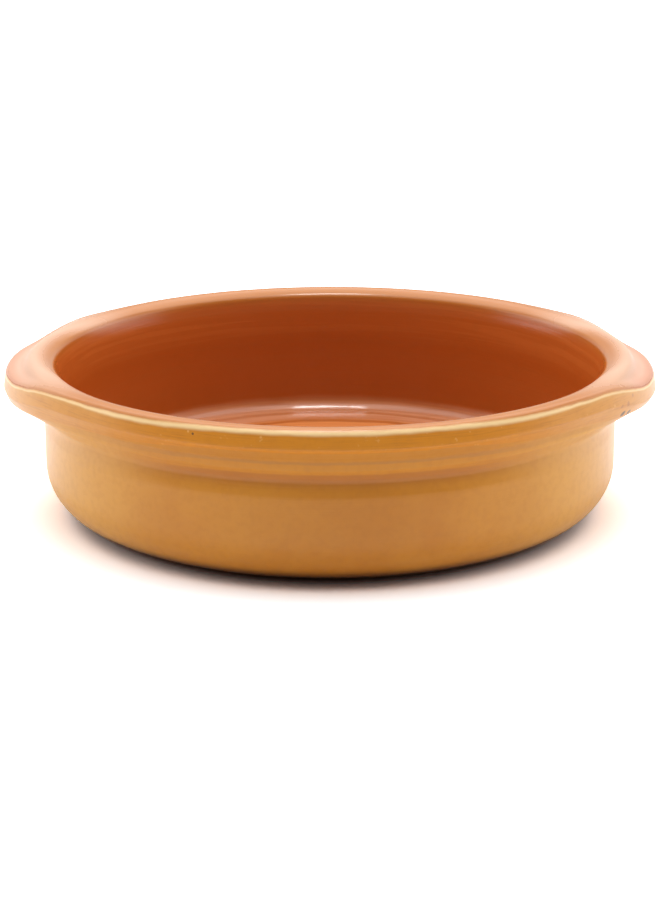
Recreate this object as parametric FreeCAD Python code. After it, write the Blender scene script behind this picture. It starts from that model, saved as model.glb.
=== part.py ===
import FreeCAD, Part
import math
import os
from FreeCAD import Vector

# Round terracotta casserole dish, one piece of fired and glazed clay.
# Sizes are in millimetres. The dish stands on Z = 0 with its axis on Z, and its two lugs lie along X.
# Radii are measured from the axis, and heights from the table.

# Body
body_radius = 100.0
rim_height = 55.8
wall = 5.1
floor_thickness = 8.8

# Foot: the flat underside, then a slow rise, then the turn into the upright side
foot_radius = 83.2
foot_rise = 6.4
foot_round = 27.0
side_round = 18.0

# Inside: the floor corner, the lean of the wall and the mouth that opens out to the lip
floor_round = 6.0
wall_lean = 2.9
flare_depth = 7.6
flare_round = 20.0
mouth_flare = 5.1
lip_rise = 0.33
lip_round = 4.4

# Neck: the soft hollow under the collar
neck_depth = 1.0
neck_height = 3.8
neck_round = 3.5
shoulder_height = 5.5
shoulder_round = 12.0

# Collar: crown, upright band, bevel and the small bead at its lower edge
collar_overhang = 5.4
crown_fall = 0.5
crown_round = 1.8
band_height = 6.1
band_lean = 0.7
bevel_height = 4.8
bevel_depth = 3.9
bead_height = 3.1
bead_depth = 0.5
edge_round = 1.1

# Lugs: two ears that swell out of the collar and dip below its crown, behind a soft valley
lug_reach = 8.3
lug_flat_angle = 3.0
lug_end_angle = 45.5
lug_dip = 4.1
dip_flat_angle = 13.2
dip_end_angle = 33.0
lug_round = 2.1
lug_crown = 0.4
lug_under_rise = 0.1
lug_edge_height = 0.4
lug_bevel_cut = 2.6
lug_tuck = 3.0
lug_inset = 0.8
lug_root_cover = 1.5
lug_overrun_angle = 2.0
lug_sections = 19
valley_round = 2.2
valley_depth = 2.6
valley_inset = 0.2
valley_least = 0.3

# Limits on the roundings: the straight that stays on a side, and the widest turn of one arc in degrees
least_straight = 0.02
widest_arc = 60.0

# Heights and radii that follow from the sizes above
inner_radius = body_radius - wall
mouth_radius = inner_radius + mouth_flare
lug_root_radius = mouth_radius + lug_root_cover
band_radius = body_radius + collar_overhang
crown_radius = band_radius - band_lean
crown_height = rim_height - crown_fall
band_foot = crown_height - band_height
bevel_foot = band_foot - bevel_height
collar_foot = bevel_foot - bead_height
bead_radius = band_radius - bevel_depth
neck_level = collar_foot - neck_height


def rounded_corner(corner, before, after, reach):
    """The points of the arc that is tangent to both sides of a corner and starts at reach from it.

    They are its start, middle and end, with the points between them where it turns by more than widest_arc.
    """
    inward = (before - corner).normalize()
    outward = (after - corner).normalize()
    half = inward.getAngle(outward) / 2
    radius = reach * math.tan(half)
    inner = (inward + outward).normalize()
    centre = corner + inner * (radius / math.sin(half))
    spokes = [corner + inward * reach - centre, inner * -radius, corner + outward * reach - centre]
    if math.pi - 2 * half > math.radians(widest_arc):
        spokes.insert(2, (spokes[1] + spokes[2]).normalize() * radius)
        spokes.insert(1, (spokes[0] + spokes[1]).normalize() * radius)
    return [centre + spoke for spoke in spokes]


def section(corners, angle=0.0):
    """A closed wire in the upright plane at an angle about Z, through corners (radius, height, rounding).

    Each rounding is an arc tangent to both sides. Where two arcs share a side that is too short for
    both, they are made smaller together.
    """
    count = len(corners)
    places = [Vector(radius, 0, height) for radius, height, rounding in corners]
    nexts = places[1:] + places[:1]
    reaches = []
    for i, corner in enumerate(corners):
        opening = (places[i - 1] - places[i]).getAngle(nexts[i] - places[i])
        reaches.append(corner[2] / math.tan(opening / 2))
    shares = []
    for i in range(count):
        wanted = reaches[i] + reaches[(i + 1) % count]
        room = (1 - least_straight) * places[i].distanceToPoint(nexts[i])
        shares.append(min(1.0, room / wanted) if wanted > 0 else 1.0)

    edges = []
    course = []
    for i in range(count):
        reach = reaches[i] * min(shares[i - 1], shares[i])
        if reach > 0:
            course.append(rounded_corner(places[i], places[i - 1], nexts[i], reach))
        else:
            course.append([places[i]])
    for i, points in enumerate(course):
        edges.append(Part.LineSegment(course[i - 1][-1], points[0]).toShape())
        for start in range(0, len(points) - 1, 2):
            edges.append(Part.Arc(*points[start:start + 3]).toShape())
    wire = Part.Wire(edges)
    wire.rotate(Vector(0, 0, 0), Vector(0, 0, 1), angle)
    return wire


def thrown_dish():
    """The round dish: its section from the axis along the underside, up the outside and back down inside."""
    corners = [
        (0.0, 0.0, 0.0),
        (foot_radius, 0.0, foot_round),
        (body_radius, foot_rise, side_round),
        (body_radius, neck_level - shoulder_height, shoulder_round),
        (body_radius - neck_depth, neck_level, neck_round),
        (bead_radius - bead_depth, collar_foot, 0.0),
        (bead_radius, bevel_foot, 0.0),
        (band_radius, band_foot, edge_round),
        (crown_radius, crown_height, crown_round),
        (mouth_radius, rim_height + lip_rise, lip_round),
        (inner_radius, rim_height - flare_depth, flare_round),
        (inner_radius - wall_lean, floor_thickness, floor_round),
        (0.0, floor_thickness, 0.0),
    ]
    face = Part.Face(section(corners))
    return face.revolve(Vector(0, 0, 0), Vector(0, 0, 1), 360)


def ease(value, start, end):
    """A smooth step: 1 where value is at or below start, 0 at or above end."""
    share = min(1.0, max(0.0, (value - start) / (end - start)))
    return 1.0 - share * share * (3.0 - 2.0 * share)


def lug_section(angle, side):
    """The lug's section at an angle from its middle: the collar's band and bevel, pushed out and down.

    Swell and dip go from 1 at the lug's middle to 0 at its ends, where it lies inside the collar by inset.
    """
    swell = ease(abs(angle), lug_flat_angle, lug_end_angle)
    dip = ease(abs(angle), dip_flat_angle, dip_end_angle)
    inset = lug_inset * (1 - swell)
    outer = band_radius - inset + lug_reach * swell
    top = crown_height - inset - lug_dip * dip
    under = collar_foot + inset + lug_under_rise * swell
    edge_top = under + (bead_height - inset) * (1 - swell) + lug_edge_height * swell
    edge_radius = outer - bevel_depth + lug_bevel_cut * swell
    valley_radius = crown_radius - valley_inset * dip - crown_round * (1 - dip)
    valley_foot = top + lug_crown
    valley_top = valley_foot + valley_least + (valley_depth - valley_least) * dip
    corners = [
        (body_radius - neck_depth, under, 0.0),
        (edge_radius - bead_depth - lug_tuck * swell, under, 0.0),
        (edge_radius, edge_top, 0.0),
        (outer, top - band_height, edge_round),
        (outer - band_lean, top, lug_round),
        (valley_radius, valley_foot, valley_round),
        (valley_radius, valley_top, 0.0),
        (lug_root_radius, valley_top, 0.0),
    ]
    return section(corners, angle + side)


def lug(side):
    """One lug, lofted through its sections from one end to the other; side is its direction in degrees."""
    half = lug_end_angle + lug_overrun_angle
    step = 2 * half / (lug_sections - 1)
    sections = [lug_section(i * step - half, side) for i in range(lug_sections)]
    return Part.makeLoft(sections, True, False)


casserole_dish = thrown_dish().fuse([lug(0), lug(180)]).removeSplitter()

os.makedirs("parts", exist_ok=True)
casserole_dish.exportStep("parts/casserole_dish.step")
box = casserole_dish.optimalBoundingBox()
print("solids", len(casserole_dish.Solids), "valid", casserole_dish.isValid(), "faces", len(casserole_dish.Faces))
print("size", round(box.XLength, 2), round(box.YLength, 2), round(box.ZLength, 2))
print("volume in cubic centimetres", round(casserole_dish.Volume / 1000, 1))
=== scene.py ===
import math

import bpy
import numpy as np
from mathutils import Matrix, Vector


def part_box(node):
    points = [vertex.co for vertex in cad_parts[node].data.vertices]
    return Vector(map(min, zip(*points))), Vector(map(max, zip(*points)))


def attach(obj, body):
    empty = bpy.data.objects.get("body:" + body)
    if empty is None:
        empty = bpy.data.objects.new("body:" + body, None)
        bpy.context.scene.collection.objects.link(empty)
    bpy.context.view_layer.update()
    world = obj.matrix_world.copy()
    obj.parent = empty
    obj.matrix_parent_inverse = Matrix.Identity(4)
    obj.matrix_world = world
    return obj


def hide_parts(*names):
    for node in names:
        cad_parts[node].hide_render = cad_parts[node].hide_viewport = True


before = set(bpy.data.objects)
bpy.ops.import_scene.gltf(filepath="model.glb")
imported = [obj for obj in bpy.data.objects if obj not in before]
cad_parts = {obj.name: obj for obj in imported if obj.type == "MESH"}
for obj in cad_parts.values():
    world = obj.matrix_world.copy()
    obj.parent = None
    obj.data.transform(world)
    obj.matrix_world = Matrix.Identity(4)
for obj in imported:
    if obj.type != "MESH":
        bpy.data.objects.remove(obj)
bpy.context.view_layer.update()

# The dish: one piece of red clay, thrown on a wheel as a shallow bowl with a heavy turned collar.
# Two lugs are drawn out of the collar and pressed down, and a soft valley parts them from the ring.
# Inside it is clear-glazed over the red clay, outside it wears a honey glaze, and it stands on bare clay.
# Sizes are in millimetres, radii from the axis and heights from the table, until the mesh is made.
mm = 0.001
box_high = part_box("casserole_dish")[1]
band_radius = box_high[1] / mm
lug_reach = box_high[0] / mm - band_radius
crest_softening = 0.11
rim_height = box_high[2] / mm + crest_softening

collar_overhang = 5.4
body_radius = band_radius - collar_overhang
wall = 5.1
wall_lean = 2.9
floor_thickness = 8.8
floor_round = 6.0
foot_radius = 83.2
foot_rise = 6.4
foot_round = 27.0
side_round = 18.0
shoulder_height = 5.5
shoulder_round = 12.0
neck_depth = 1.0
neck_height = 3.8
neck_round = 3.5
crown_fall = 0.5
crown_round = 1.8
band_height = 6.1
band_lean = 0.9
bevel_height = 4.8
bevel_depth = 3.9
bead_height = 3.1
bead_depth = 0.5
edge_round = 1.1
flare_depth = 7.6
flare_round = 20.0
mouth_flare = 5.1

# The rim's top is nearly flat, and it turns down into the mouth over a full inner edge.
lip_rise = 0.15
lip_round = 8.0
lip_edge_inset = 4.0
lip_edge_fall = 2.3
lip_edge_round = 2.8

# Angles are in degrees from the middle of a lug. The right lug is pressed down further than the left.
lug_flat_angle = 3.0
lug_end_angle = 45.5
lug_dip = 4.1
lug_dip_difference = 0.5
dip_flat_angle = 13.2
dip_end_angle = 33.0
lug_round = 2.1
lug_crown = 0.4
lug_under_rise = 0.1
lug_edge_height = 0.4
lug_bevel_cut = 2.6
lug_tuck = 3.0

# The valley and the ring's shoulder beside it lie on the crown away from the lugs.
valley_on_crown = 1.45
valley_at_lug = -1.9
valley_round = 4.2
shoulder_on_crown = 1.55
shoulder_at_lug = 1.0
ring_shoulder_round = 4.4

lip_level = rim_height + lip_rise
crown_height = rim_height - crown_fall
collar_foot = crown_height - band_height - bevel_height - bead_height
neck_level = collar_foot - neck_height
inner_radius = body_radius - wall
mouth_radius = inner_radius + mouth_flare
crown_radius = band_radius - band_lean

# The number of sections round the dish, and the share by which they stand closer together at the lugs.
angle_steps = 440
lug_crowding = 0.35


def ease(value, start, end):
    """A smooth step: 1 where value is at or below start, 0 at or above end."""
    share = np.clip((value - start) / (end - start), 0.0, 1.0)
    return 1.0 - share * share * (3.0 - 2.0 * share)


def rounded_course(corners, rounding, arc_points, line_points, least_reach=0.03, most_of_side=0.96):
    """Points along many sections at once, through corners[section, corner, (radius, height)].

    Each corner becomes the arc tangent to both its sides, drawn as a rational quadratic curve whose
    middle weight is the sine of half the opening, which makes it a true circle. Where a side is too
    short for both its arcs they shrink together until they take most_of_side. A side's remaining
    straight is divided evenly.
    """
    before = corners[:, :-2] - corners[:, 1:-1]
    after = corners[:, 2:] - corners[:, 1:-1]
    before_length = np.linalg.norm(before, axis=2)
    after_length = np.linalg.norm(after, axis=2)
    before = before / before_length[..., None]
    after = after / after_length[..., None]
    half = np.arccos(np.clip(np.sum(before * after, axis=2), -1.0, 1.0)) / 2
    reach = np.maximum(rounding / np.tan(half), least_reach)
    side = np.concatenate([before_length, after_length[:, -1:]], axis=1)
    padded = np.pad(reach, ((0, 0), (1, 1)))
    share = np.minimum(1.0, most_of_side * side / (padded[:, :-1] + padded[:, 1:]))
    reach = reach * np.minimum(share[:, :-1], share[:, 1:])
    start = corners[:, 1:-1] + before * reach[..., None]
    end = corners[:, 1:-1] + after * reach[..., None]
    weight = np.sin(half)
    parts = []
    last = corners[:, 0]
    for i in range(corners.shape[1] - 1):
        straight = np.linspace(0.0, 1.0, line_points[i] + 2)[:-1, None, None]
        goal = start[:, i] if i < start.shape[1] else corners[:, -1]
        parts.append(last + (goal - last) * straight[(0 if i == 0 else 1):])
        if i < start.shape[1]:
            t = np.linspace(0.0, 1.0, arc_points[i])[:, None, None]
            middle = 2 * t * (1 - t) * weight[:, i][None, :, None]
            outer = (1 - t) ** 2
            inner = t ** 2
            arc = outer * start[:, i] + middle * corners[:, i + 1] + inner * end[:, i]
            parts.append(arc / (outer + middle + inner))
            last = end[:, i]
    parts.append(corners[None, :, -1])
    return np.concatenate(parts).transpose(1, 0, 2)


def dish_sections(angles):
    """The dish's section at each angle, as corners, and the lugs' swell there.

    The swell pushes the collar's outer corners out, and the dip lowers the lug's top behind the valley.
    Both are smooth steps of the angle from the lug's middle, 1 there and 0 at its ends.
    """
    off_axis = np.degrees(np.arccos(np.clip(np.abs(np.cos(angles)), 0.0, 1.0)))
    swell = ease(off_axis, lug_flat_angle, lug_end_angle)
    dip = ease(off_axis, dip_flat_angle, dip_end_angle)
    outer = band_radius + lug_reach * swell
    top = crown_height - (lug_dip + lug_dip_difference * np.sign(np.cos(angles))) * dip
    under = collar_foot + lug_under_rise * swell
    edge_top = under + bead_height * (1 - swell) + lug_edge_height * swell
    edge_radius = outer - bevel_depth + lug_bevel_cut * swell
    valley_move = (valley_on_crown + band_lean - valley_at_lug) * swell
    valley_radius = crown_radius - valley_on_crown + valley_move
    ring_move = (shoulder_on_crown + band_lean - shoulder_at_lug) * swell
    ring_radius = crown_radius - shoulder_on_crown + ring_move
    slope = (lip_level - crown_height) / (mouth_radius - crown_radius)
    valley_level = crown_height + slope * (valley_radius - crown_radius)
    valley_level = valley_level * (1 - dip) + (top + lug_crown) * dip
    ring_level = crown_height + slope * (ring_radius - crown_radius)
    flat = np.zeros_like(angles)
    corners = [
        (flat, flat),
        (flat + foot_radius, flat),
        (flat + body_radius, flat + foot_rise),
        (flat + body_radius, flat + neck_level - shoulder_height),
        (flat + body_radius - neck_depth, flat + neck_level),
        (edge_radius - bead_depth - lug_tuck * swell, under),
        (edge_radius, edge_top),
        (outer, top - band_height),
        (outer - band_lean, top),
        (valley_radius, valley_level),
        (ring_radius, ring_level),
        (flat + mouth_radius, flat + lip_level),
        (flat + mouth_radius - lip_edge_inset, flat + lip_level - lip_edge_fall),
        (flat + inner_radius, flat + rim_height - flare_depth),
        (flat + inner_radius - wall_lean, flat + floor_thickness),
        (flat, flat + floor_thickness),
    ]
    return np.stack([np.stack(corner, axis=1) for corner in corners], axis=1), swell


steps = np.arange(angle_steps) * 2 * math.pi / angle_steps
angles = steps - lug_crowding * np.sin(2 * steps) / 2
corners, swell = dish_sections(angles)
edge_rounding = crown_round + (lug_round - crown_round) * swell
corner_roundings = [
    foot_round, side_round, shoulder_round, neck_round, edge_round, edge_round, edge_round, edge_rounding,
    valley_round, ring_shoulder_round, lip_round, lip_edge_round, flare_round, floor_round,
]
rounding = np.stack([size * np.ones_like(angles) for size in corner_roundings], axis=1)

# How many points each corner's arc takes, and each straight before, between and after the arcs.
arc_points = [8, 16, 8, 10, 6, 6, 6, 9, 9, 8, 8, 10, 5, 14]
line_points = [5, 1, 8, 1, 1, 1, 2, 5, 4, 1, 2, 1, 2, 14, 40]
course = rounded_course(corners, rounding, arc_points, line_points)


def course_index(corner, share=0.5):
    """The place in a section of the point at a share of a corner's arc, corners counted from 1."""
    before = sum(arc_points[:corner - 1]) + sum(line_points[:corner]) + 1
    return before + round(share * (arc_points[corner - 1] - 1))


# Two measures along the section in millimetres. from_edge starts at the glaze line, which is the collar's
# upper outer edge: it is below 0 outside and above 0 inside. The way starts under the dish's middle, with
# the collar's own stretch brought to the same length at every angle, so that rings on the bowl stay level.
neck_corner, crown_corner, lip_corner = 4, 8, 11
neck_index = course_index(neck_corner)
edge_index = course_index(crown_corner)
crest_index = course_index(lip_corner, 0.0)
stretch = np.linalg.norm(np.diff(course, axis=1), axis=2)
travelled = np.concatenate([np.zeros((angle_steps, 1)), np.cumsum(stretch, axis=1)], axis=1)
from_edge = travelled - travelled[:, edge_index][:, None]
at_neck, at_crest = travelled[:, neck_index][:, None], travelled[:, crest_index][:, None]
collar_length = (at_crest - at_neck).min()
way = at_neck + (travelled - at_neck) * collar_length / (at_crest - at_neck)
place_in_course = np.arange(course.shape[1])[None, :]
way = np.where(place_in_course <= neck_index, travelled, way)
way = np.where(place_in_course >= crest_index, at_neck + collar_length + travelled - at_crest, way)

radius, height = course[..., 0], course[..., 1]
across = np.cos(angles)[:, None]
along = np.sin(angles)[:, None]
points = np.stack([radius * across, radius * along, height], axis=2)
wheel = np.stack([across + 0 * way, along + 0 * way, way], axis=2)


def closed_grid(name, points, attributes):
    """A closed mesh from sections[angle, point]: their first and last points are the two poles.

    Neighbouring sections are joined by quads and the poles by triangles, so that faces point outwards.
    attributes gives each point attribute as an array of vectors or numbers on the same grid.
    """
    columns, rows = points.shape[0], points.shape[1] - 2
    grid = np.arange(columns * rows).reshape(columns, rows)
    beside = np.roll(grid, -1, axis=0)
    quads = np.stack([grid[:, :-1], beside[:, :-1], beside[:, 1:], grid[:, 1:]], axis=2).reshape(-1, 4)
    first, last = columns * rows, columns * rows + 1
    bottom = np.stack([np.full(columns, first), beside[:, 0], grid[:, 0]], axis=1)
    top = np.stack([np.full(columns, last), grid[:, -1], beside[:, -1]], axis=1)

    def in_vertex_order(values):
        """The grid's values in the order of the vertices: section after section, then the two poles."""
        inner = values[:, 1:-1].reshape((-1,) + values.shape[2:])
        return np.concatenate([inner, values[0, :1], values[0, -1:]])

    vertices = in_vertex_order(points)
    loops = np.concatenate([quads.ravel(), bottom.ravel(), top.ravel()])
    sizes = np.concatenate([np.full(len(quads), 4), np.full(2 * columns, 3)])
    mesh = bpy.data.meshes.new(name)
    mesh.vertices.add(len(vertices))
    mesh.vertices.foreach_set("co", (vertices * mm).ravel())
    mesh.loops.add(len(loops))
    mesh.loops.foreach_set("vertex_index", loops)
    mesh.polygons.add(len(sizes))
    mesh.polygons.foreach_set("loop_start", np.concatenate([[0], np.cumsum(sizes)[:-1]]))
    mesh.polygons.foreach_set("loop_total", sizes)
    mesh.polygons.foreach_set("use_smooth", np.ones(len(sizes), dtype=bool))
    for label, values in attributes.items():
        is_vector = values.ndim == 3
        attribute = mesh.attributes.new(label, "FLOAT_VECTOR" if is_vector else "FLOAT", "POINT")
        attribute.data.foreach_set("vector" if is_vector else "value", in_vertex_order(values).ravel())
    mesh.update()
    mesh.validate()
    piece = bpy.data.objects.new(name, mesh)
    bpy.context.scene.collection.objects.link(piece)
    return piece


dish = closed_grid("glazed_dish", points, {"wheel": wheel, "from_edge": from_edge})


class Wire:
    """A shader socket that takes part in sums: each operator adds one Math node to its material."""

    def __init__(self, tree, socket=None):
        self.tree = tree
        self.socket = socket

    def node(self, kind, settings=None, inputs=None, output=0):
        """Adds a node of that type: its settings first, then its inputs, as values or other Wires."""
        made = self.tree.nodes.new(kind)
        for name, value in (settings or {}).items():
            setattr(made, name, value)
        for name, value in (inputs or {}).items():
            if isinstance(value, Wire):
                self.tree.links.new(value.socket, made.inputs[name])
            else:
                made.inputs[name].default_value = value
        return Wire(self.tree, made.outputs[output])

    def math(self, operation, first, second=0.0):
        """Adds one Math node on numbers or Wires."""
        return self.node("ShaderNodeMath", {"operation": operation}, {0: first, 1: second})

    def __add__(self, other):
        return self.math("ADD", self, other)

    __radd__ = __add__

    def __mul__(self, other):
        return self.math("MULTIPLY", self, other)

    __rmul__ = __mul__

    def __sub__(self, other):
        return self.math("SUBTRACT", self, other)

    def __rsub__(self, other):
        return self.math("SUBTRACT", other, self)

    def __truediv__(self, other):
        return self.math("DIVIDE", self, other)

    def __pow__(self, other):
        return self.math("POWER", self, other)

    def __abs__(self):
        return self.math("ABSOLUTE", self)

    def axis(self, index):
        """One coordinate of a vector: 0 for x, 1 for y and 2 for z."""
        return self.node("ShaderNodeSeparateXYZ", {}, {0: self}, output=index)

    def above(self, low, high):
        """A smooth step from 0 at low to 1 at high."""
        return self.node("ShaderNodeMapRange", {"interpolation_type": "SMOOTHSTEP"},
                         {"Value": self, "From Min": low, "From Max": high, "To Min": 0.0, "To Max": 1.0})

    def between(self, start, end):
        """1 between two edges: a smooth step up over start and down over end, each a pair."""
        return self.above(*start) * (1 - self.above(*end))

    def blend(self, at_zero, at_one):
        """Runs straight from at_zero, where this value is 0, to at_one, where it is 1."""
        return self * (at_one - at_zero) + at_zero

    def colour(self, without, fully):
        """A colour that turns from without to fully as this value goes from 0 to 1."""
        return self.node("ShaderNodeMix", {"data_type": "RGBA"}, {0: self, 6: without, 7: fully}, output=2)

    def grain(self, vector, scale=1.0, detail=2.0, roughness=0.5, stretch=(1.0, 1.0, 1.0)):
        """Noise from 0 to 1 on a vector that is first stretched."""
        place = self.node("ShaderNodeMapping", {}, {"Vector": vector, "Scale": stretch})
        inputs = {"Vector": place, "Scale": scale, "Detail": detail, "Roughness": roughness}
        return self.node("ShaderNodeTexNoise", {}, inputs)


def new_material(name):
    """An empty material with its output and a Principled shader: (material, Wire, shader node)."""
    material = bpy.data.materials.new(name)
    material.use_nodes = True
    tree = material.node_tree
    tree.nodes.clear()
    shader = tree.nodes.new("ShaderNodeBsdfPrincipled")
    output = tree.nodes.new("ShaderNodeOutputMaterial")
    tree.links.new(shader.outputs[0], output.inputs["Surface"])
    return material, Wire(tree), shader


# Colours of the clay under its clear glaze, of the honey glaze, and of the bare clay of the foot.
wall_clay = (0.45, 0.098, 0.013, 1.0)
upper_sheen_clay = (0.62, 0.172, 0.034, 1.0)
floor_clay = (0.72, 0.25, 0.075, 1.0)
pool_clay = (0.57, 0.185, 0.048, 1.0)
floor_reflection_clay = (0.58, 0.225, 0.105, 1.0)
marks_and_painted_ring_clay = (0.42, 0.11, 0.02, 1.0)
rim_clay = (0.51, 0.175, 0.027, 1.0)
painted_lug_sheen = (0.95, 0.72, 0.58, 1.0)
honey = (0.68, 0.262, 0.018, 1.0)
honey_deep = (0.61, 0.214, 0.010, 1.0)
side_lit_honey = (0.78, 0.390, 0.060, 1.0)
band_honey = (0.70, 0.243, 0.003, 1.0)
bevel_honey = (0.55, 0.213, 0.026, 1.0)
bead_honey = (0.68, 0.255, 0.005, 1.0)
streak_honey = (0.46, 0.140, 0.003, 1.0)
fleck_honey = (0.85, 0.46, 0.14, 1.0)
shaded_neck_and_rust_honey = (0.42, 0.115, 0.012, 1.0)
pale_edge_and_highlight = (0.97, 0.68, 0.34, 1.0)
pit_brown = (0.07, 0.030, 0.012, 1.0)
bare_clay = (0.50, 0.19, 0.08, 1.0)
painted_foot_shade = (0.12, 0.035, 0.010, 1.0)

# In the glaze, levels and radii are in metres, and distances from the glaze line are in millimetres, below
# 0 outside. A start, an end, an edge or a fade is the two places between which a finish comes or goes.
glaze, wire, shader = new_material("glazed_clay")
place = wire.node("ShaderNodeTexCoord", output=3)
turned = wire.node("ShaderNodeAttribute", {"attribute_name": "wheel"}, output=1)
from_line = wire.node("ShaderNodeAttribute", {"attribute_name": "from_edge"}, output=2)
beside, behind, level = place.axis(0), place.axis(1), place.axis(2)
off_axis = (beside * beside + behind * behind) ** 0.5
lugward = abs(turned.axis(0))


def towards_lugs(start, end, at_front, at_lugs):
    """Turns smoothly from at_front to at_lugs while lugward goes from start to end.

    Lugward is 0 at the dish's front and back and 1 at the middle of a lug.
    """
    return lugward.above(start, end).blend(at_front, at_lugs)


# Mottle and fine grain lie anywhere in the glaze. Streaks and turning marks run round with the wheel.
mottle = wire.grain(place, scale=38.0, detail=3.0)
fine = wire.grain(place, scale=420.0)
streaks = wire.grain(turned, detail=3.0, roughness=0.6, stretch=(2.2, 2.2, 1.1))
turning = wire.grain(turned, stretch=(1.6, 1.6, 0.45)).above(0.48, 0.62)

# The line where the two glazes meet wanders a little, and it moves out over the edge towards the lugs.
line_wander = 0.7
inside_edge = (0.2, 0.8)
line_wobble = (wire.grain(turned, stretch=(14.0, 14.0, 0.2)) - 0.5) * line_wander
at_line = from_line + line_wobble + towards_lugs(0.3, 0.65, at_front=0.3, at_lugs=1.2)
inside = at_line.above(*inside_edge)

# Outside it wears honey glaze. Painted shade darkens the neck under the collar, and painted light makes it
# paler round the sides. The bevel is browner and the bead richer, which fades towards the lugs.
neck_start, neck_end = (0.0335, 0.0385), (0.0405, 0.0415)
bead_start, bevel_start = (-17.0, -16.0), (-13.2, -12.4)
# Painted shade under the collar: the neck's honey is darkened, less so towards the lugs.
neck = level.between(neck_start, neck_end) * towards_lugs(0.4, 0.9, at_front=0.6, at_lugs=0.2)
# Painted light: towards the lugs the honey is drawn paler and yellower, as the sides catch more light.
painted_side_light = towards_lugs(0.38, 0.9, at_front=0.0, at_lugs=0.75)
bevel = at_line.above(*bevel_start) * towards_lugs(0.35, 0.75, at_front=0.8, at_lugs=0.3)
bead = at_line.between(bead_start, bevel_start) * towards_lugs(0.35, 0.75, at_front=0.7, at_lugs=0.0)
outside_colour = mottle.above(0.3, 0.7).colour(honey, honey_deep)
outside_colour = neck.colour(outside_colour, shaded_neck_and_rust_honey)
outside_colour = painted_side_light.colour(outside_colour, side_lit_honey)
outside_colour = bevel.colour(outside_colour, bevel_honey)
outside_colour = bead.colour(outside_colour, bead_honey)

# The upright band of the collar has the deepest glaze, with streaks along the wheel and light flecks.
band_start, band_end = (-7.6, -6.6), (-1.8, -0.8)
streak_strength, fleck_strength, grain_strength = 0.4, 0.4, 0.12
band_drop = towards_lugs(0.35, 0.75, at_front=0.0, at_lugs=3.5)
band = (at_line + band_drop).above(*band_start) * (1 - at_line.above(*band_end))
band_strength = towards_lugs(0.35, 0.8, at_front=0.85, at_lugs=0.35)
collar_streaks = wire.grain(turned, detail=3.0, roughness=0.65, stretch=(6.0, 6.0, 1.9)).above(0.48, 0.70)
fleck_clouds = wire.grain(place, scale=70.0, detail=1.0).above(0.45, 0.6)
collar_flecks = wire.grain(place, scale=620.0, detail=1.0).above(0.66, 0.74) * fleck_clouds
outside_colour = (band * band_strength).colour(outside_colour, band_honey)
outside_colour = (collar_streaks * band * streak_strength).colour(outside_colour, streak_honey)
outside_colour = (collar_flecks * band * fleck_strength).colour(outside_colour, fleck_honey)
outside_colour = (fine.above(0.40, 0.70) * grain_strength).colour(outside_colour, streak_honey)

# The floor has a pool with turned rings in its middle. The dark ring round the pool is a painted
# reflection of the dark wall, the one in the groove at the foot of the wall is painted corner shade, and
# the pink band between them is a painted reflection of the lit corner.
pool_wander = 0.004
pool_fade, ring_fade = (0.040, 0.070), (0.012, 0.060)
pool_start, pool_end = (0.0720, 0.0740), (0.0750, 0.0775)
floor_reflection_start = (0.0750, 0.0790)
groove_start, groove_end = (0.0835, 0.0860), (0.0868, 0.0885)
ring_strength, pool_strength, groove_strength, floor_reflection_strength = 0.28, 0.85, 0.7, 0.75
pool_place = off_axis + (mottle - 0.5) * pool_wander
# Painted shade and reflection: dark rings at the foot of the wall and round the pool.
painted_floor_rings = pool_place.between(groove_start, groove_end) * groove_strength
painted_floor_rings = painted_floor_rings + pool_place.between(pool_start, pool_end) * pool_strength
floor_rings = turning * off_axis.above(*ring_fade) * ring_strength
floor_colour = off_axis.above(*pool_fade).colour(pool_clay, floor_clay)
# Painted reflection: a paler pink band between the two dark rings.
floor_colour = (off_axis.above(*floor_reflection_start) * floor_reflection_strength).colour(floor_colour, floor_reflection_clay)
floor_colour = painted_floor_rings.colour(floor_colour, marks_and_painted_ring_clay)
floor_colour = floor_rings.colour(floor_colour, marks_and_painted_ring_clay)

# The wall is the reddest. Turning marks show on it, most of all in its upper part, which is drawn lighter
# as a painted sheen, and the rim is paler again.
wall_wander = 0.003
wall_start, upper_sheen_start, rim_start = (0.0108, 0.0150), (0.0350, 0.0450), (0.0500, 0.0545)
mark_strength = 0.15
upper_sheen_strength, upper_sheen_in_marks = 0.42, 0.64
wall_colour = (level + (mottle - 0.5) * wall_wander).above(*wall_start).colour(floor_colour, wall_clay)
wall_colour = (turning * mark_strength).colour(wall_colour, marks_and_painted_ring_clay)
# Painted sheen: the upper wall is drawn lighter, more so in the turning marks.
painted_upper_sheen = level.above(*upper_sheen_start) * turning.blend(upper_sheen_strength, upper_sheen_in_marks)
wall_colour = painted_upper_sheen.colour(wall_colour, upper_sheen_clay)
inside_colour = level.above(*rim_start).colour(wall_colour, rim_clay)
skin = inside.colour(outside_colour, inside_colour)

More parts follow.
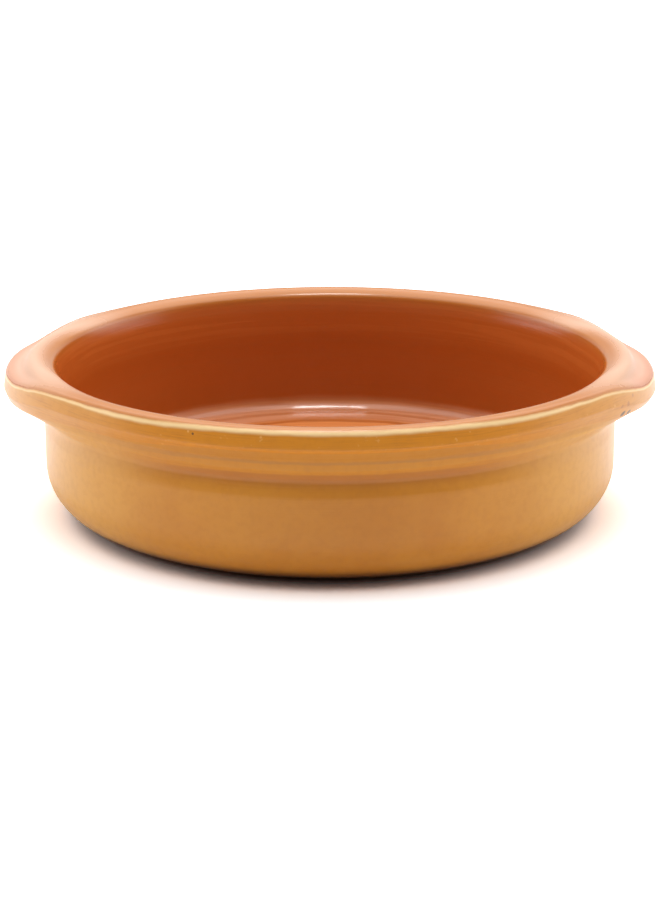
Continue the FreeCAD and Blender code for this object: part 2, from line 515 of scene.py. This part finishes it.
# The lugs' tops are drawn whitish as a painted sheen, most of all from a few millimetres in. Along the
# glaze line the edge is pale where the glazes meet, with a painted highlight on its rounded corner,
# in a line that is thinner at the lugs.
lug_sheen_start, lug_sheen_thick, lug_sheen_end = (-0.2, 1.6), (2.5, 6.0), (11.0, 18.0)
lug_sheen_strength = 0.48
thin_share = 0.62
lug_middle = (0.74, 1.0)
pale_start, pale_end = (-1.2, -0.2), (-0.1, 0.75)
lug_top = at_line.above(*lug_sheen_start) * thin_share + at_line.above(*lug_sheen_thick) * (1 - thin_share)
lug_top = lugward.above(*lug_middle) * lug_top * (1 - at_line.above(*lug_sheen_end))
pale_width = towards_lugs(0.5, 0.95, at_front=1.4, at_lugs=0.6)
pale_strength = towards_lugs(0.65, 0.95, at_front=1.0, at_lugs=0.7)
pale = (at_line / pale_width).between(pale_start, pale_end)
# Painted sheen: the lugs' tops are drawn whitish.
skin = (lug_top * lug_sheen_strength).colour(skin, painted_lug_sheen)
# Partly painted highlight: the pale line along the glaze line.
skin = (pale * pale_strength).colour(skin, pale_edge_and_highlight)


def spots(marks, softness=0.5):
    """Round spots from 0 outside to 1 within, each given by its place and its radius in metres."""
    masks = []
    for at, size in marks:
        apart = wire.node("ShaderNodeVectorMath", {"operation": "DISTANCE"}, {0: place, 1: at}, output=1)
        masks.append(1 - apart.above(size * (1 - softness), size))
    return sum(masks)


# Small flaws of the firing: pits, rust spots and light specks on the lugs, the collar and the neck.
pits = spots([
    ((0.0974, -0.0455, 0.0443), 0.0016),
    ((0.0997, -0.0421, 0.0440), 0.0013),
    ((0.1013, -0.0395, 0.0470), 0.0006),
    ((-0.0425, -0.0959, 0.0522), 0.0005),
    ((-0.1021, -0.0389, 0.0519), 0.0006),
    ((0.0600, -0.0840, 0.0440), 0.0008),
])
rusts = spots([
    ((0.0990, -0.0462, 0.0480), 0.0012),
    ((0.0965, -0.0496, 0.0479), 0.0010),
    ((0.1007, -0.0426, 0.0500), 0.0009),
])
specks = spots([
    ((0.0837, 0.0534, 0.0368), 0.0006),
    ((-0.0440, -0.0952, 0.0528), 0.0005),
    ((-0.0213, -0.1030, 0.0530), 0.0007),
])
rust_strength, pit_strength, speck_strength = 0.55, 0.9, 0.7
skin = (rusts * rust_strength).colour(skin, shaded_neck_and_rust_honey)
skin = (pits * pit_strength).colour(skin, pit_brown)
skin = (specks * speck_strength).colour(skin, fleck_honey)

# The foot is darkened up to a few millimetres above the table as painted shade, and the flat underside is
# bare clay.
foot_shade_fade, side_start, underside_end = (0.0026, 0.0078), (0.0002, 0.0012), (-80.0, -70.0)
foot_shade_strength = 0.9
foot = 1 - level.above(*foot_shade_fade)
under = (1 - level.above(*side_start)) * (1 - from_line.above(*underside_end))
skin = (foot * foot_shade_strength).colour(skin, painted_foot_shade)
skin = under.colour(skin, bare_clay)
wire.tree.links.new(skin.socket, shader.inputs["Base Color"])

# The inside is glossier than the outside, and the floor is the glossiest. The lugs' tops and the bare clay
# are duller. Streaks and grain stand up from the glaze a little, and the floor is faintly uneven.
outside_roughness, inside_roughness = 0.32, 0.18
floor_polish, lug_top_dullness, bare_dullness, grain_roughness = 0.10, 0.22, 0.5, 0.05
glaze_ior = 1.5
floor_end = (0.012, 0.018)
streak_relief, grain_relief, floor_relief = 0.35, 0.12, 2.4
relief_strength, relief_depth = 0.25, 0.0006
floor_zone = inside * (1 - level.above(*floor_end))
roughness = inside.blend(outside_roughness, inside_roughness) + (fine - 0.5) * grain_roughness
roughness = roughness + lug_top * lug_top_dullness + under * bare_dullness - floor_zone * floor_polish
wire.tree.links.new(roughness.socket, shader.inputs["Roughness"])
shader.inputs["IOR"].default_value = glaze_ior
relief = streaks * streak_relief + fine * grain_relief + mottle * floor_zone * floor_relief
bump_inputs = {"Strength": relief_strength, "Distance": relief_depth, "Height": relief}
bump = wire.node("ShaderNodeBump", {}, bump_inputs)
wire.tree.links.new(bump.socket, shader.inputs["Normal"])
dish.data.materials.append(glaze)
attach(dish, "root")
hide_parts("casserole_dish")

# The table: a wide white sheet that carries the dish's shadow and runs past the picture on all sides.
# For the camera alone a brown contact shadow is painted where the foot touches it, with a warm painted
# penumbra round it. The glaze mirrors it dim in front of the dish and bright behind, which is painted into
# its colour for reflections alone, because the light falls from behind.
table_size = 12.0
table_roughness = 0.9
table_colour = (0.90, 0.90, 0.90, 1.0)
mirrored_table_in_front = (0.22, 0.22, 0.22, 1.0)
mirrored_table_behind = (1.50, 1.50, 1.50, 1.0)
contact_shade = (0.44, 0.22, 0.15, 1.0)
penumbra = (1.58, 1.48, 1.44, 1.0)
table_in_view = (1.42, 1.52, 1.58, 1.0)
contact_edge, penumbra_edge = (0.0820, 0.0915), (0.0940, 0.1050)
front_edge, back_edge = (-0.34, -0.10), (-0.06, 0.10)
front_share, back_share = 0.45, 0.4
bpy.ops.mesh.primitive_plane_add(size=table_size, location=(0, 0, 0))
table = bpy.context.object
table.name = "table"
white, wire, shader = new_material("white_table")
camera_path = wire.node("ShaderNodeLightPath", output=0)
glossy_path = wire.node("ShaderNodeLightPath", output=3)
place = wire.node("ShaderNodeTexCoord", output=3)
beside, behind = place.axis(0), place.axis(1)
off_axis = (beside * beside + behind * behind) ** 0.5
# Painted reflection: what the glaze mirrors of the table is dim in front and bright behind.
reflected = behind.above(*front_edge) * front_share + behind.above(*back_edge) * back_share
sheet = reflected.colour(mirrored_table_in_front, mirrored_table_behind)
sheet = glossy_path.colour(table_colour, sheet)
# Painted shadow for the camera: brown at the foot, then a warm penumbra, then the white sheet.
sheet_in_view = off_axis.above(*contact_edge).colour(contact_shade, penumbra)
sheet_in_view = off_axis.above(*penumbra_edge).colour(sheet_in_view, table_in_view)
sheet = camera_path.colour(sheet, sheet_in_view)
wire.tree.links.new(sheet.socket, shader.inputs["Base Color"])
shader.inputs["Roughness"].default_value = table_roughness
shader.inputs["Specular IOR Level"].default_value = 0.0
table.data.materials.append(white)

# The studio: the sky of a light tent, whose white ceiling reaches further down behind the dish. Its sides
# brighten upwards and towards the back, its back is softer and its front is dim. One small lamp in the
# ceiling gives the glaze its glints. Edges are given on a direction whose length is 1.
tent_ceiling = 2.3
tent_side = 2.6
tent_side_low = 0.75
tent_back = 0.6
tent_front = 0.10
ceiling_tilt = 0.25
ceiling_edge = (0.58, 0.86)
side_edge = (0.7, 0.95)
side_rise, side_depth = (0.22, 0.55), (-0.30, 0.10)
back_depth = (0.1, 0.9)

world = bpy.data.worlds.new("light_tent")
world.use_nodes = True
sky = Wire(world.node_tree)
direction = sky.node("ShaderNodeTexCoord", output=0)
beside, behind, level = abs(direction.axis(0)), direction.axis(1), direction.axis(2)
overhead = (level + behind * ceiling_tilt).above(*ceiling_edge)
side_height = level.above(*side_rise) * (1 - tent_side_low) + behind.above(*side_depth) * tent_side_low
tent_wall = beside.above(*side_edge) * side_height * tent_side + behind.above(*back_depth) * tent_back
brightness = overhead * tent_ceiling + (1 - overhead) * (tent_wall + tent_front)
in_view = sky.node("ShaderNodeLightPath", output=0)
brightness = brightness * (1 - in_view) + in_view
background = world.node_tree.nodes["Background"]
background.inputs["Color"].default_value = (1.0, 1.0, 1.0, 1.0)
world.node_tree.links.new(brightness.socket, background.inputs["Strength"])
bpy.context.scene.world = world

lamp_place = (0, 0.05, 1.28)
lamp_width, lamp_depth = 0.34, 0.16
lamp_brightness = 22.0
lamp = bpy.data.lights.new("ceiling_lamp", "AREA")
lamp.shape = "RECTANGLE"
lamp.size = lamp_width
lamp.size_y = lamp_depth
lamp.energy = lamp_brightness * math.pi * lamp_width * lamp_depth
ceiling_lamp = bpy.data.objects.new("ceiling_lamp", lamp)
ceiling_lamp.location = lamp_place
bpy.context.scene.collection.objects.link(ceiling_lamp)

# The camera looks down at the dish by 16.4 degrees from 0.8 m, through a long lens. It leans by a tenth of
# a degree.
picture = (660, 900)
aim_height = 0.01868
stand_off = 0.800
look_down = 0.2859
pixels_per_radian = 2255.6
sensor_long_side = 36.0
roll = math.radians(-0.11)
lens = bpy.data.cameras.new("camera")
lens.sensor_width = sensor_long_side
lens.lens = pixels_per_radian * sensor_long_side / max(picture)
camera = bpy.data.objects.new("camera", lens)
aim = Vector((0.0, 0.0, aim_height))
camera_place = aim + stand_off * Vector((0.0, -math.cos(look_down), math.sin(look_down)))
facing = (aim - camera_place).to_track_quat("-Z", "Y").to_matrix()
camera.matrix_world = Matrix.Translation(camera_place) @ (facing @ Matrix.Rotation(roll, 3, "Z")).to_4x4()
bpy.context.scene.collection.objects.link(camera)
bpy.context.scene.camera = camera
bpy.context.scene.view_settings.view_transform = "Standard"
